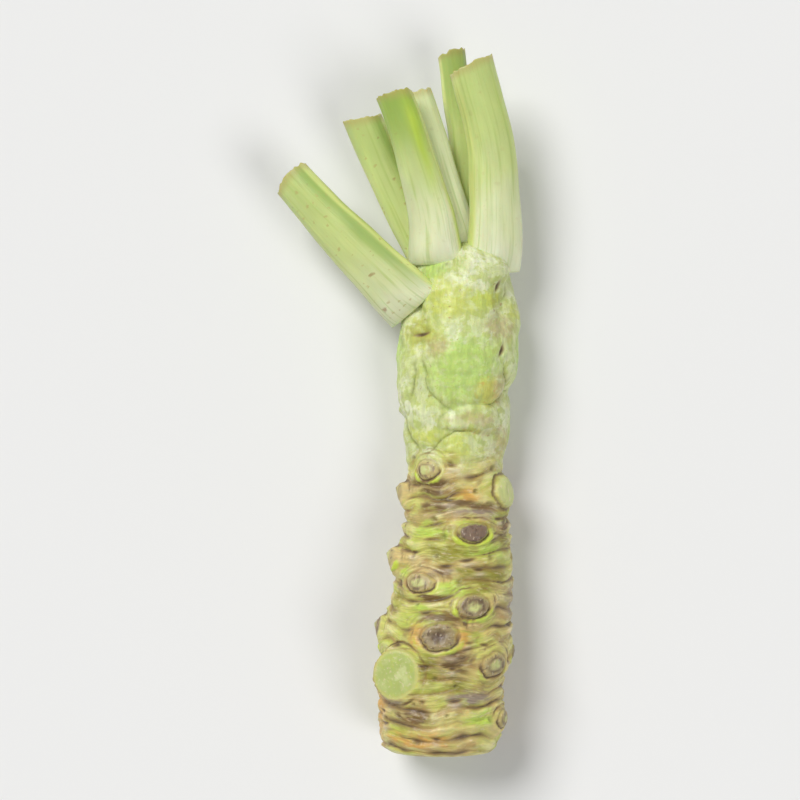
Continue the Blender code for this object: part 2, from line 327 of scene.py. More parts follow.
def all_eyes():
    """The eyes of the upper side, and those of the hidden side in the plant's own spiral."""
    eyes = list(EYES)
    rng = np.random.default_rng(SEED)
    for k in range(int((HIDDEN_EYE_END - HIDDEN_EYE_START) / HIDDEN_EYE_STEP)):
        turn = (k * GOLDEN_ANGLE + 180) % 360 - 180
        kind = HIDDEN_EYE_KINDS[rng.integers(len(HIDDEN_EYE_KINDS))]
        brown, lip = rng.uniform(*HIDDEN_EYE_BROWN), rng.uniform(*HIDDEN_EYE_LIP)
        if abs(turn) > SEEN_TURN:
            along = HIDDEN_EYE_START + k * HIDDEN_EYE_STEP
            eyes.append(Eye(turn, along, *HIDDEN_EYE_SIZE, kind, brown, lip))
    return eyes


class Surface:
    """The rhizome's surface while it is worked on: form and fine relief in millimetres, and marks."""

    MARKS = (
        "crease", "lip", "bud", "brown", "core", "heart", "pit", "scurf", "stub", "stub_rim", "crown",
        "fold", "hollow", "relief", "tint", "foot", "reach", *PATCHES,
    )

    def __init__(self, turn, along):
        self.turn, self.along = turn, along
        self.half_width, self.half_height, self.shift, self.centre, self.shrink = section(along)
        self.radius = (self.half_width + self.half_height) / 2 / self.shrink
        self.grain = self.wrapped(along)
        self.swell = np.zeros(turn.shape)
        self.fine = np.zeros(turn.shape)
        self.lean = np.zeros(turn.shape)  # shift up the root
        self.wobble = 0.13 * self.noise(3.0, 71) + 0.08 * self.noise(0.8, 72)
        self.rough = self.noise(0.8, 73, 2)
        self.marks = {name: np.zeros(turn.shape) for name in self.MARKS}
        self.place = self.ring_place()

    def wrapped(self, along):
        return np.stack([self.radius * np.sin(self.turn), along, self.radius * np.cos(self.turn)], axis=-1)

    def noise(self, size, seed, octaves=1, stretch=(1, 1, 1)):
        return noise(self.grain * stretch, size, seed, octaves)

    def from_centre(self, turn, along):
        """Millimetres round and along the rhizome from a feature's centre."""
        return turned_from(self.turn, turn) * self.radius, self.along - along

    def raise_mark(self, name, value):
        self.marks[name] = np.maximum(self.marks[name], value)

    def clear_marks(self, share_left):
        """Makes room for an eye or the stub, which bring their own marks."""
        for name in ("crease", "lip", "bud", "pit", "scurf"):
            self.marks[name] = self.marks[name] * share_left

    def ring_place(self):
        """Distance along the root as the rings count it: they wander, and part round the eyes."""
        place = self.along + 1.6 * self.noise(12, 3) + 0.8 * self.noise(5, 4)
        place = place + 0.7 * np.sin(self.turn + 0.6 + self.along / 23)
        for eye in all_eyes():
            u, v = self.from_centre(eye.turn, eye.along)
            push = 1.7 * bell(u, 1.25 * eye.half_width) * bell(v, 2.1 * eye.half_length)
            place = place - push * np.tanh(1.6 * v / eye.half_length)
        return place

    def round_line(self, radius, line):
        """Places for noise that changes round the rhizome, and from each crease's line to the next."""
        return np.stack([radius * np.cos(self.turn), radius * np.sin(self.turn), 40.0 * line], axis=-1)

    def add_scar_ridges(self):
        """Ridges with a gentle rise and a steep upper side, and creases between them that fade in and out."""
        lines = np.array(CREASES)
        below = np.clip(np.searchsorted(lines, self.place, side="right") - 1, 0, len(lines) - 2)
        span = lines[below + 1] - lines[below]
        share = np.clip((self.place - lines[below]) / span, 0, 1)
        crest = np.sin(math.pi * share**1.7) ** 0.8
        strength = np.clip(0.85 + 0.9 * self.noise(6, 11), 0.2, 1.7)
        crease = np.zeros(self.place.shape)
        for line, distance in ((below, share * span), (below + 1, (1 - share) * span)):
            depth = np.clip(0.6 + 1.1 * noise(self.round_line(7, line), 4.5, 17), 0.04, 1)
            width = CREASE_WIDTH * np.clip(1 + 1.2 * self.noise(3, 18), 0.4, 2)
            crease = np.maximum(crease, depth * np.exp(-distance / width))
        phase = 2 * math.pi * self.place / WRINKLE_SPACING + 2.5 * self.noise(3, 34)
        wrinkles = np.cos(phase) * np.clip(0.5 + 1.2 * self.noise(5, 35), 0, 1.2)
        self.fine += RIDGE_HEIGHT * crest * strength - CREASE_DEPTH * crease + WRINKLE_HEIGHT * wrinkles
        # The material darkens the crease mark: partly the creases' own brown, partly painted shade
        self.raise_mark("crease", crease)
        self.marks["tint"] = np.clip(0.5 + 0.8 * noise(self.round_line(self.radius, below), 9, 19), 0, 1)

    def add_crown(self):
        """Overlapping leaf bases: the proudest one shows, and a fold runs where two meet."""
        wander_u = 1.3 * self.noise(6.5, 21) + 0.35 * self.noise(2.0, 23)
        wander_v = 1.5 * self.noise(6.5, 22) + 0.35 * self.noise(2.0, 24)
        softness = np.clip(0.6 + 2.2 * self.noise(8, 45), *MERGE_SOFTNESS)
        for turn, along, half_width, half_length, rounding in MEETINGS:
            u, v = self.from_centre(turn, along)
            near = 1 - smooth_step(0.6, 1.3, np.hypot(u / half_width, v / half_length))
            softness = softness + (rounding - softness) * near
        first, second = np.full(self.turn.shape, -0.6), np.full(self.turn.shape, -9.0)
        swell = first
        for turn, along, half_width, up, down, bulge in LEAF_BASES:
            u, v = self.from_centre(turn, along)
            u, v = u + wander_u, v + wander_v
            reach = np.hypot(u / half_width, np.where(v > 0, v / up, v / down))
            height = bulge * (1 - reach ** (LEAF_BASE_POWER + 1.5 * smooth_step(0, 0.7, -v / down)))
            second = np.maximum(second, np.minimum(height, first))
            first = np.maximum(first, height)
            near = np.clip(softness - np.abs(swell - height), 0, None) / softness
            swell = np.maximum(swell, height) + near**2 * softness / 4
        self.swell += smooth_step(*LEAF_BASES_START, self.along) * swell
        crown = smooth_step(*CROWN_SKIN_START, self.along + 4.5 * self.noise(6, 5, 2))
        crispness = 1 - smooth_step(0.1, 1.0, softness)
        # The material paints shade from these: a dark line in each fold, softer shade in the hollow beside it
        fold = np.exp(-(first - second) / 0.12) * crown * crispness
        hollow = np.exp(-(first - second) / 0.9) * crown * (0.3 + 0.7 * crispness)
        fibres = self.noise(0.8, 41, 2, stretch=(1, 0.07, 1))
        puckers = self.noise(1.0, 44, 2, stretch=(0.4, 1, 0.4)) * hollow
        self.fine *= 1 - crown
        dents = 0.35 * self.noise(5, 42, 3)
        self.fine += crown * (0.04 * fibres + dents - 0.25 * fold + 0.2 * puckers)
        self.marks["crease"] = self.marks["crease"] * (1 - crown)
        self.marks["crown"], self.marks["fold"], self.marks["hollow"] = crown, fold, hollow
        for nick in NICKS:
            self.add_slit(*nick)

    def add_patches(self):
        wander = 1.2 * self.noise(5, 25, 2)
        for mark, spots in PATCHES.items():
            for turn, along, half_width, half_length in spots:
                for side in (turn, turn + 180):
                    u, v = self.from_centre(side, along)
                    reach = np.hypot((u + wander) / half_width, (v - wander) / half_length)
                    self.raise_mark(mark, 1 - smooth_step(0.0, 1.5, reach))

    def add_lumps(self):
        lumps = 0.45 * self.noise(5.5, 31) + 0.3 * self.noise(2.0, 32, 3, stretch=(0.6, 1, 0.6))
        self.fine += (1 - 0.7 * self.marks["crown"]) * lumps

    def add_small_scars(self):
        """Dimples left by fine roots, and slits over small pale scales where buds never grew."""
        rng = np.random.default_rng(SEED + 1)
        for _ in range(PIT_COUNT):
            turn, along = rng.uniform(-180, 180), rng.uniform(*PIT_ALONG)
            size = rng.uniform(*PIT_SIZE)
            u, v = self.from_centre(turn, along)
            reach = np.hypot(u, v) / size
            self.fine += 0.16 * bell(reach - 1.35, 0.35) - 0.4 * bell(reach, 0.8)
            # The material darkens the pit mark: painted shade in the dimple
            self.raise_mark("pit", bell(reach, 0.95))
        for _ in range(SLIT_COUNT):
            turn, along = rng.uniform(-180, 180), rng.uniform(*SLIT_ALONG)
            width, tilt = rng.uniform(*SLIT_WIDTH), rng.uniform(*SLIT_TILT)
            self.add_slit(turn, along, width, tilt)

    def add_slit(self, turn, along, width, tilt):
        """A short crease under a small pale scale."""
        u, v = self.from_centre(turn, along)
        tilt = math.radians(tilt)
        u, v = u * math.cos(tilt) + v * math.sin(tilt), v * math.cos(tilt) - u * math.sin(tilt)
        slit = bell(v - 0.12 * u * u / width, 0.42) * bell(u, width)
        scale = bell(v + 0.95, 0.6) * bell(u, 0.75 * width)
        self.fine += 0.35 * scale - 0.45 * slit
        # The slit joins the crease mark, which the material darkens: partly its own brown, partly painted
        # shade
        self.raise_mark("crease", slit)
        self.raise_mark("scurf", scale)

    def add_eye(self, eye):
        """A swelling round a bud, with a lip under it, a moat inside that, and brows above."""
        u, v = self.from_centre(eye.turn, eye.along)
        across, up = u / eye.half_width, v / eye.half_length
        true_reach = np.hypot(across, up)
        self.swell = np.maximum(self.swell, eye.rise * (1 - smooth_step(0.5, EYE_SPREAD, true_reach)))
        reach = true_reach + self.wobble
        from_below = np.abs(np.arctan2(across, -up))
        uneven = np.clip(0.8 + 1.1 * self.noise(2.6, 75), 0.1, 1.2)
        lower = smooth_step(-0.25, 0.4, -up / np.maximum(true_reach, 0.05))
        corners = bell(from_below - LIP_CORNER, 0.55)
        lip = bell(reach - 1.02, 0.08 + 0.1 * corners) * np.clip((0.45 + 0.6 * corners) * uneven, 0, 1)
        lip = lip * lower * eye.lip
        moat = bell(reach - 0.8, 0.1) * (0.5 + 0.5 * lower)
        brow = sum(share * bell(reach - at, 0.09) for at, share in BROWS) * (1 - lower) * uneven
        inner = 1 - smooth_step(0.62, 0.78, reach)
        core = (1 - smooth_step(0.2, 0.42, reach)) * np.clip(0.8 + self.rough, 0, 1)
        bud = 0.5 * np.sqrt(np.clip(1 - (reach / 0.75) ** 2, 0, 1)) * (1 + 0.35 * self.rough)
        heart = np.zeros(reach.shape)
        if eye.kind == "ring":
            heart = 0.6 * bell(reach - 0.42, 0.09) * uneven
            bud = bud - 0.35 * heart
        if eye.kind == "hollow":
            heart = bell(reach, 0.4)
            bud = bud - 0.8 * heart
        if eye.kind == "bud":
            bud = bud * (1 + 0.4 * self.rough)
        if eye.kind in ("hollow", "bud"):
            core = np.zeros(core.shape)
        if eye.kind == "knob":
            lip = 0.5 * lip
            brow = np.zeros(brow.shape)
            moat = 0.8 * bell(reach - 1.1, 0.12)
            inner = 1 - smooth_step(0.85, 1.02, reach)
            core = inner
            bud = 0.6 * np.sqrt(np.clip(1 - reach**2, 0, 1)) + 0.06 * self.rough * inner
        if eye.kind == "point":
            moat = bell(up - 0.95, 0.2) * bell(across, 0.8)
            bud = 1.2 * np.clip(1 - reach, 0, 1) ** 1.2
            self.lean += 1.1 * np.clip(1 - reach, 0, 1)
        calm = smooth_step(0.95, 1.5, reach)
        self.fine = self.fine * calm + 0.55 * lip - 0.45 * moat - 0.2 * brow + bud
        self.clear_marks(calm)
        # Moat and brows join the crease mark, which the material darkens: partly their own brown, partly
        # painted shade
        self.raise_mark("crease", np.maximum(moat, 0.7 * brow))
        self.raise_mark("lip", lip)
        self.raise_mark("bud", inner)
        for name, value in (("core", core), ("brown", eye.brown), ("heart", heart)):
            self.marks[name] = np.where(inner > 0.02, value, self.marks[name])

    def add_stub(self):
        """The stub of a side shoot, cut off flat: a plane that looks out to the upper left."""
        _, v = self.from_centre(STUB_TURN, STUB_ALONG)
        facing = math.radians(STUB_FACING)
        lean = np.clip(turned_from(self.turn, STUB_FACING), -1.2, 1.2)
        u = STUB_DISTANCE * (np.tan(lean) - math.tan(math.radians(STUB_TURN) - facing))
        from_middle = np.hypot(u, v)
        from_rim = from_middle - STUB_RADIUS + 1.2 * self.wobble
        reached = self.half_width * np.sin(self.turn) * math.sin(facing)
        reached = reached + self.half_height * np.cos(self.turn) * math.cos(facing)
        lift = (STUB_DISTANCE - reached) / np.maximum(np.cos(lean), 0.5)
        flank = 1 - smooth_step(0, STUB_FLANK, from_rim)
        self.swell = self.swell * (1 - flank) + lift * flank
        disc = 1 - smooth_step(-0.25, 0.15, from_rim)
        ditch = bell(from_rim - STUB_FLANK, 0.4) * np.clip(0.6 + 1.3 * self.noise(4, 77), 0.1, 1)
        dished = 0.15 * self.noise(3.5, 76, 2) - 0.25 * bell(from_rim, 0.4)
        self.fine = self.fine * smooth_step(-0.1, 1.4, from_rim) - 0.35 * ditch + dished * disc
        self.clear_marks(1 - disc)
        # The ditch joins the crease mark, which the material darkens: painted shade round the stub, partly
        # its own brown
        self.raise_mark("crease", 0.9 * ditch)
        self.marks["stub"] = disc
        self.marks["stub_rim"] = bell(from_rim + 0.25, 0.4)
        self.marks["reach"] = np.clip(from_middle / STUB_RADIUS, 0, 1)

    def points(self):
        total = (self.swell + self.fine) * smooth_step(0, CUT_BEVEL, self.along) * self.shrink
        x = self.shift + (self.half_width + total) * np.sin(self.turn)
        z = self.centre + (self.half_height + total) * np.cos(self.turn)
        z = (z + np.hypot(z, BED_SOFTNESS)) / 2
        return np.stack([x, self.along + self.lean, z], axis=-1)


def drawn_in(ring, count):
    """Copies of a ring that draw in towards its middle, with the share of its size that each keeps."""
    shares = 1 - np.arange(1, count + 1) / (count + 1)
    middle = ring.mean(axis=0)
    return middle + (ring - middle) * shares[:, None, None], shares


def unrolled(rings):
    """Flat places for every corner of a piece's faces, its rings laid out as rows, for baking."""
    sides = rings.shape[1]
    step = np.linalg.norm(np.diff(rings, axis=0), axis=-1).mean(axis=1)
    run = np.concatenate([[1.0], 1.0 + np.cumsum(step)])
    across = np.arange(sides + 1) / sides
    grid = np.stack(np.meshgrid(across, run / (run[-1] + 1.0)), axis=-1)
    halfway = (across[:-1] + across[1:]) / 2
    low_pole, high_pole = (np.stack([halfway, np.full(sides, end)], axis=-1) for end in (0, 1))
    quads = np.stack([grid[:-1, :-1], grid[:-1, 1:], grid[1:, 1:], grid[1:, :-1]], axis=2)
    low_fan = np.stack([low_pole, grid[0, 1:], grid[0, :-1]], axis=1)
    high_fan = np.stack([high_pole, grid[-1, :-1], grid[-1, 1:]], axis=1)
    spots = np.concatenate([corners.ravel() for corners in (quads, low_fan, high_fan)])
    return LAYOUT_MARGIN + (1 - 2 * LAYOUT_MARGIN) * spots


def with_poles(values):
    """One list of the values on all rings, then their means on the first and the last ring."""
    means = (values[end].mean(axis=0, keepdims=True) for end in (0, -1))
    return np.concatenate([values.reshape(-1, *values.shape[2:]), *means])


def skin(name, rings, marks, grain, material):
    """A closed piece through rings of points, with its marks, its grain and an unrolled layout."""
    rows, sides = rings.shape[:2]
    low_pole, high_pole = rows * sides, rows * sides + 1
    here = np.arange((rows - 1) * sides).reshape(rows - 1, sides)
    after = np.roll(here, -1, axis=1)
    quads = np.stack([here, after, after + sides, here + sides], axis=-1).reshape(-1, 4)
    first, second = here[0], after[0]
    top = (rows - 1) * sides
    low_fan = np.stack([np.full(sides, low_pole), second, first], axis=-1)
    high_fan = np.stack([np.full(sides, high_pole), first + top, second + top], axis=-1)
    mesh = bpy.data.meshes.new(name)
    points = (with_poles(rings) * MM).tolist()
    mesh.from_pydata(points, [], quads.tolist() + low_fan.tolist() + high_fan.tolist())
    mesh.shade_smooth()

    def store(layer, key, values):
        layer.data.foreach_set(key, values.astype(np.float32).ravel())

    for mark, value in marks.items():
        store(mesh.attributes.new(mark, "FLOAT", "POINT"), "value", with_poles(value))
    store(mesh.attributes.new("grain", "FLOAT_VECTOR", "POINT"), "vector", with_poles(grain))
    store(mesh.uv_layers.new(name="OFBake"), "uv", unrolled(rings))

    mesh.materials.append(material)
    piece = bpy.data.objects.new(name, mesh)
    bpy.context.scene.collection.objects.link(piece)
    return piece


def rhizome_piece(origin, material):
    turn = np.linspace(0, 2 * math.pi, SIDES, endpoint=False)
    rim = np.linspace(0, CUT_BEVEL, RIM_ROWS, endpoint=False)
    body = np.linspace(CUT_BEVEL, DOME_START, BODY_ROWS, endpoint=False)
    closing = np.sin(np.linspace(0, math.pi / 2, DOME_ROWS)) ** (2 / DOME_POWER)
    along = np.concatenate([rim, body, DOME_START + (LENGTH - DOME_START) * closing])
    work = Surface(*np.meshgrid(turn, along))
    work.add_scar_ridges()
    work.add_small_scars()
    work.add_crown()
    work.add_patches()
    work.add_lumps()
    for eye in all_eyes():
        work.add_eye(eye)
    work.add_stub()
    # The material uses the relief mark only to pale the raised parts: a painted highlight on the crests
    work.marks["relief"] = np.clip(0.5 + 0.6 * work.fine, 0, 1)
    side = work.points()

    face, shares = drawn_in(side[0], FACE_ROWS)
    face[..., 1] += 0.18 * noise(face, 4, 51, 2) * (1 - shares[:, None] ** 4)
    rings = np.concatenate([face[::-1], side])
    grain = np.concatenate([face[::-1], work.wrapped(work.place)])
    plain = np.zeros(face.shape[:2])
    marks = {name: np.concatenate([plain, value]) for name, value in work.marks.items()}
    marks["foot"][:FACE_ROWS] = 1
    marks["reach"][:FACE_ROWS] = shares[::-1, None]
    return skin("rhizome_skin", rings + origin, marks, grain, material)


# ------------------------------------------------------------------ the leaf stalks

STALK_SIDES = 96
STALK_ROWS = 150
TIP_ROWS = 14
BASE_RIM = 6.0
BASE_EDGE = 0.25
CLASP = 0.05
CLASP_FADE = 2.5
GROOVE = 0.55
SQUARENESS = 0.86  # under 1 makes a stalk's faces flatter and its edges crisper
TIP_SHAPED = 7.0  # the length over which a stalk's slanted cut is formed
FRAYED = 1.2  # the length over which it frays
DRIED_RIM = (2.2, 0.2)  # where the dried rim begins and is complete, before the cut


class Stalk(NamedTuple):
    """A cut leaf stalk's form as in part.py, the slant of its cut, and its tones.

    "White" is how white its base is and the share of its length that this takes to fade out. "Green" is the
    depth of green that it reaches at its tip, and "flank" that of the darker green band along its right side,
    which is painted shade.
    """

    base: tuple
    tip: tuple
    width: tuple
    depth: tuple
    back: tuple
    bow: tuple = (0.0, 0.0, 0.0)
    taper: float = 2.5
    slant: tuple = (0.0, 0.0)
    white: tuple = (0.5, 0.6)
    green: float = 0.5
    flank: float = 0.0
    stripe: float = 0.0
    rust: float = 0.2


STALKS = {
    "petiole_front_left": Stalk(
        base=(-8.8, 94.8, 15.0), tip=(-34.9, 122.8, 14.6), bow=(-0.2, -0.1, 1.2),
        width=(15.0, 9.2), depth=(5.6, 6.6), back=(-0.38, -0.38, 0.85), taper=1.2,
        slant=(-0.12, 0.15), white=(0.95, 0.5), green=0.2, flank=0.75, rust=1.0,
    ),
    "petiole_front_middle": Stalk(
        base=(-4.0, 104.5, 15.6), tip=(-13.1, 140.0, 21.4), bow=(1.6, 0, 0.8),
        width=(12.4, 7.6), depth=(6.4, 6.6), back=(-0.3, 0, 1.0), taper=2.0,
        slant=(0.1, 0.2), white=(1.0, 0.9), green=0.9, stripe=1.0,
    ),
    "petiole_front_right": Stalk(
        base=(8.6, 103.0, 13.2), tip=(3.4, 146.8, 18.4), bow=(2.1, 0, 0.8),
        width=(13.4, 10.0), depth=(7.2, 7.6), back=(0.5, 0, 1.0), taper=2.0,
        slant=(-0.15, 0.1), white=(1.0, 0.7), green=0.25, stripe=0.3,
    ),
    "petiole_inner_left": Stalk(
        base=(-5.2, 103.6, 10.4), tip=(-19.9, 136.2, 12.2), bow=(-0.2, 0, 0),
        width=(7.6, 8.4), depth=(5.4, 5.6), back=(-0.4, 0, 1.0), taper=1.2,
        slant=(0.2, 0.1), white=(0.2, 0.5), green=0.3, flank=0.6, rust=1.0,
    ),
    "petiole_inner_middle": Stalk(
        base=(2.6, 107.0, 12.4), tip=(-7.9, 141.6, 14.2), bow=(0.6, 0, 0),
        width=(6.8, 5.8), depth=(4.8, 5.2), back=(0, 0, 1.0),
        slant=(0.1, 0.1), white=(1.0, 2.2), green=0.1,
    ),
    "petiole_inner_right": Stalk(
        base=(4.0, 106.0, 7.6), tip=(-0.6, 150.6, 9.4), bow=(0.5, 0, 0),
        width=(6.8, 6.0), depth=(4.8, 5.2), back=(0.3, 0, 1.0),
        slant=(-0.1, 0.2), white=(0.3, 0.5), green=0.6,
    ),
    "petiole_under_left": Stalk(
        base=(-4.6, 103.6, 4.9), tip=(-14.4, 124.0, 4.2),
        width=(7.4, 6.4), depth=(4.8, 5.2), back=(-0.5, 0, -1.0),
        slant=(0.2, 0.0), white=(0.6, 0.6), green=0.3, rust=0.5,
    ),
    "petiole_under_middle": Stalk(
        base=(1.4, 105.0, 3.8), tip=(-5.0, 131.0, 3.4),
        width=(6.8, 6.2), depth=(4.4, 5.2), back=(0, 0, -1.0),
        slant=(0.0, 0.1), white=(0.7, 0.6), green=0.35, rust=0.3,
    ),
    "petiole_under_right": Stalk(
        base=(7.8, 103.0, 6.4), tip=(7.4, 131.0, 6.0), bow=(0.8, 0, 0),
        width=(7.6, 6.4), depth=(4.8, 5.4), back=(1.0, 0, -0.8),
        slant=(-0.2, 0.1), white=(0.6, 0.6), green=0.35, rust=0.4,
    ),
}


def squared(wave):
    return np.sign(wave) * np.abs(wave) ** SQUARENESS


def stalk_course(form):
    """Points along a stalk's middle, the ways ahead, sideways and outwards there, and its length."""
    base, tip, bow, back = (np.array(v, float) for v in (form.base, form.tip, form.bow, form.back))
    handle = (base + tip) / 2 + 2 * bow
    share = np.linspace(0, 1, STALK_ROWS)[:, None]
    left = 1 - share
    centre = left**2 * base + 2 * share * left * handle + share**2 * tip
    ahead = left * (handle - base) + share * (tip - handle)
    ahead /= np.linalg.norm(ahead, axis=1, keepdims=True)
    out = back - ahead * (ahead @ back)[:, None]
    out /= np.linalg.norm(out, axis=1, keepdims=True)
    return centre, ahead, np.cross(out, ahead), out, np.linalg.norm(tip - base)


def stalk_tones(form, phase, run, length, grain, ribs, dents):
    """The marks along a stalk's sides."""
    height = run / length
    low_white = 1 - smooth_step(0, form.white[1], height + 0.15 * noise(grain, 7, 66))
    high_green = smooth_step(0.35, 1.0, height + 0.2 * noise(grain, 8, 67))
    stripe = bell(np.cos(phase) + 0.6 + 0.15 * dents, 0.3) * smooth_step(0.2, 0.8, height)
    stripe = stripe * (1 - 0.75 * smooth_step(0.82, 1.0, height + 0.05 * dents))
    # Painted shade: darker green on the stalk's right side, away from the key light
    flank = smooth_step(0.35, 0.9, -np.cos(phase) + 0.2 * dents + 0.15 * ribs)
    from_tip = length - run - 0.7 * dents
    return {
        "white": form.white[0] * low_white,
        "green": form.green * high_green,
        "stripe": form.stripe * stripe,
        "flank": form.flank * flank * smooth_step(0, 0.3, height),
        # Painted highlight along the stalk's two edges
        "edge": smooth_step(0.9, 1.0, np.abs(np.cos(phase))) + 0 * run,
        "dried": smooth_step(*DRIED_RIM, from_tip),
        "rust": np.full(run.shape, form.rust),
    }


def stalk_piece(name, form, number, origin, material):
    centre, ahead, side, out, length = stalk_course(form)
    phase = np.linspace(0, 2 * math.pi, STALK_SIDES, endpoint=False)[None, :]
    share = np.linspace(0, 1, STALK_ROWS)[:, None]
    left = 1 - share
    flare = left**form.taper
    half_width, half_depth = ((tip + (base - tip) * flare) / 2 for base, tip in (form.width, form.depth))
    girth = (half_width + half_depth) / 2
    run = share * length + 0 * phase
    rounding = np.sqrt(1 - (1 - np.clip(run / BASE_RIM, 0, 1)) ** 2)
    half_depth = half_depth * (BASE_EDGE + (1 - BASE_EDGE) * rounding)
    grain = np.stack([girth * np.cos(phase), run, girth * np.sin(phase)], axis=-1) + 50.0 * number

    ribs = noise(grain * (1, 0.05, 1), 1.1, 61, 2)
    dents = noise(grain, 9, 62)
    fine = 0.1 * ribs + 0.22 * dents
    across = (half_width + fine) * squared(np.cos(phase))
    rise = (half_depth + fine) * squared(np.sin(phase))
    rise = rise * (1 - GROOVE * np.clip(-np.sin(phase), 0, 1) ** 3)
    rise = rise - CLASP * left**CLASP_FADE * across**2 / 2

    near_tip = smooth_step(length - TIP_SHAPED, length, run)
    shove = near_tip * (form.slant[0] * across + form.slant[1] * rise)
    fray = smooth_step(length - FRAYED, length, run) * noise(grain * (1, 0.2, 1), 1.3, 63, 2)
    shove = shove + 0.5 * fray
    sway = 0.5 * noise(grain[:, :1] * (0, 1, 0), 16, 64)
    rings = centre[:, None] + (across + sway)[..., None] * side[:, None] + rise[..., None] * out[:, None]
    rings = rings + shove[..., None] * ahead[:, None]

    face, shares = drawn_in(rings[-1], TIP_ROWS)
    reach = shares[:, None] + 0 * phase
    dish = 0.5 * (1 - reach**2) + 0.1 * noise(face, 1.5, 65)
    face = face - dish[..., None] * ahead[-1]
    around = 9 * phase + 1.3 * np.sin(3 * phase)
    vessels = bell(reach - 0.72, 0.1) * smooth_step(0.1, 0.9, np.cos(around))

    tones = stalk_tones(form, phase, run, length, grain, ribs, dents)
    last_rows = [*range(STALK_ROWS)] + [STALK_ROWS - 1] * TIP_ROWS
    marks = {mark: tone[last_rows] for mark, tone in tones.items()}
    none, full = np.zeros(run.shape), np.ones(run.shape)
    marks["cut"] = np.concatenate([none, full[:TIP_ROWS]])
    marks["vessel"] = np.concatenate([none, vessels])
    marks["reach"] = np.concatenate([full, reach])
    grain = np.concatenate([grain, grain[-1:] * reach[..., None]])
    return skin(name + "_skin", np.concatenate([rings, face]) + origin, marks, grain, material)


# ------------------------------------------------------------------ materials

# Sockets of Blender's mix node, which has a set for each kind of value: share, first, second
MIX_NUMBERS = (0, 2, 3)
MIX_COLOURS = (0, 6, 7)


def feed(socket, value):
    """Sets a node's input, or links it where the value comes out of another node."""
    if isinstance(value, bpy.types.NodeSocket):
        socket.id_data.links.new(value, socket)
    elif socket.type == "RGBA":
        socket.default_value = (*value, 1)
    else:
        socket.default_value = value


def add_node(tree, kind, inputs, **settings):
    made = tree.nodes.new(kind)
    for setting, value in settings.items():
        setattr(made, setting, value)
    for socket, value in inputs.items():
        feed(made.inputs[socket], value)
    return made


